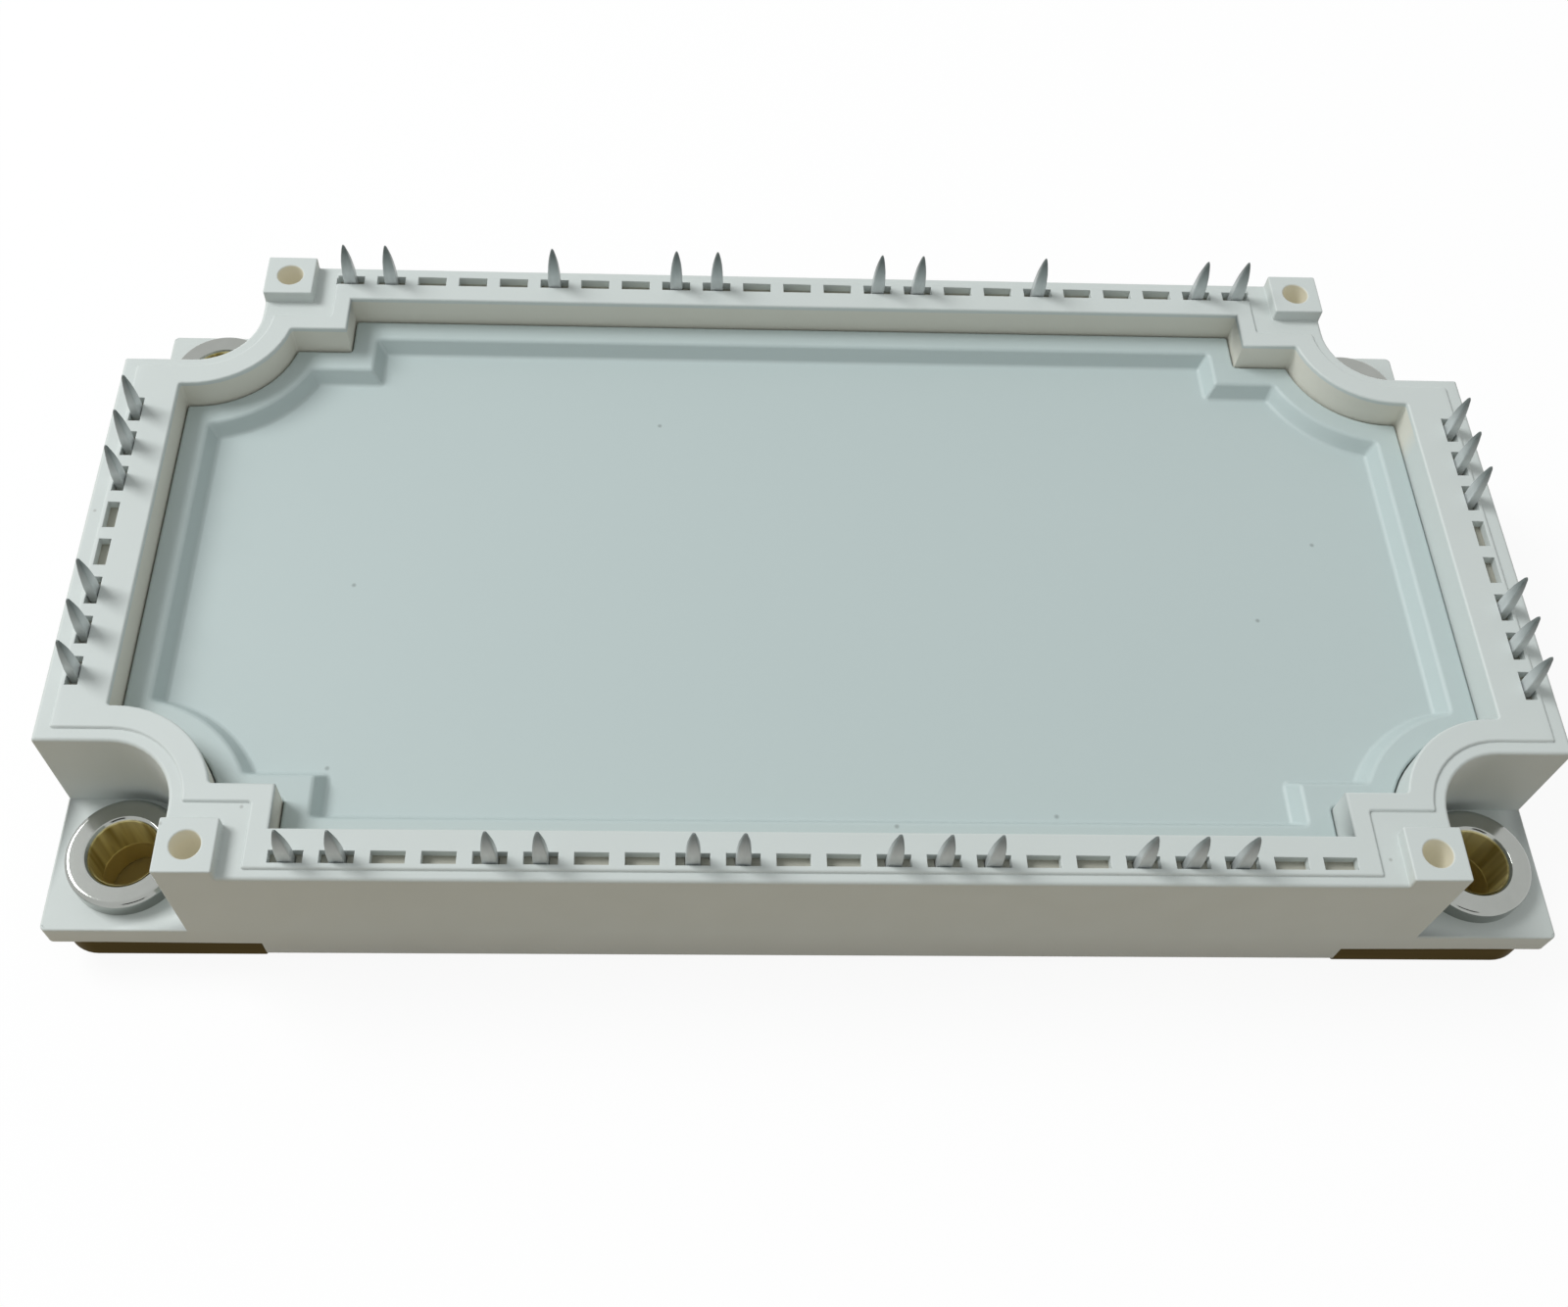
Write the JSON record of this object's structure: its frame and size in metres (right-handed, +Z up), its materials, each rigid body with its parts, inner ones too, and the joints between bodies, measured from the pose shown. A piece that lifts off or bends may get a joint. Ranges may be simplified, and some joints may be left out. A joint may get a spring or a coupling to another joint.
{
  "type": "igbt module",
  "caption": "Flat power module: moulded frame with a sunk lid on a nickel-plated baseplate, bushed mounting holes and screw domes at the corners, upright solder pins along every side.",
  "frame": {"origin": "centre of the baseplate's underside", "axes": "+X along the length, +Y across the width towards the back row of pins, +Z up from the baseplate towards the pin tips"},
  "size_m": [0.122, 0.062, 0.0205],
  "materials": {
    "frame_plastic": "matte",
    "lid_plastic": "matte",
    "baseplate_metal": "satin",
    "bush_metal": "satin",
    "pin_metal": "satin",
    "adhesive": "matte",
    "gel": "gloss",
    "ceramic": "matte",
    "copper": "satin",
    "silicon": "satin",
    "sensor": "gloss",
    "wire_metal": "satin"
  },
  "bodies": {
    "root": {"frame": "frame_plastic", "lid": "lid_plastic", "baseplate": "baseplate_metal", "adhesive_bead": "adhesive", "silicone_gel": "gel", "bush_front_left": "bush_metal", "bush_front_right": "bush_metal", "bush_back_left": "bush_metal", "bush_back_right": "bush_metal", "ceramic_left": "ceramic", "ceramic_centre": "ceramic", "ceramic_right": "ceramic", "back_copper_left": "copper", "back_copper_centre": "copper", "back_copper_right": "copper", "circuit_copper_left": "copper", "circuit_copper_centre": "copper", "circuit_copper_right": "copper", "inverter_igbt_dies": "silicon", "inverter_diode_dies": "silicon", "rectifier_dies": "silicon", "brake_dies": "silicon", "thermistor": "sensor", "bond_wires": "wire_metal", "pin_front_1": "pin_metal", "pin_front_2": "pin_metal", "pin_front_3": "pin_metal", "pin_front_4": "pin_metal", "pin_front_5": "pin_metal", "pin_front_6": "pin_metal", "pin_front_7": "pin_metal", "pin_front_8": "pin_metal", "pin_front_9": "pin_metal", "pin_front_10": "pin_metal", "pin_front_11": "pin_metal", "pin_front_12": "pin_metal", "pin_back_1": "pin_metal", "pin_back_2": "pin_metal", "pin_back_3": "pin_metal", "pin_back_4": "pin_metal", "pin_back_5": "pin_metal", "pin_back_6": "pin_metal", "pin_back_7": "pin_metal", "pin_back_8": "pin_metal", "pin_back_9": "pin_metal", "pin_back_10": "pin_metal", "pin_left_1": "pin_metal", "pin_left_2": "pin_metal", "pin_left_3": "pin_metal", "pin_left_4": "pin_metal", "pin_left_5": "pin_metal", "pin_left_6": "pin_metal", "pin_right_1": "pin_metal", "pin_right_2": "pin_metal", "pin_right_3": "pin_metal", "pin_right_4": "pin_metal", "pin_right_5": "pin_metal", "pin_right_6": "pin_metal"}
  },
  "joints": []
}
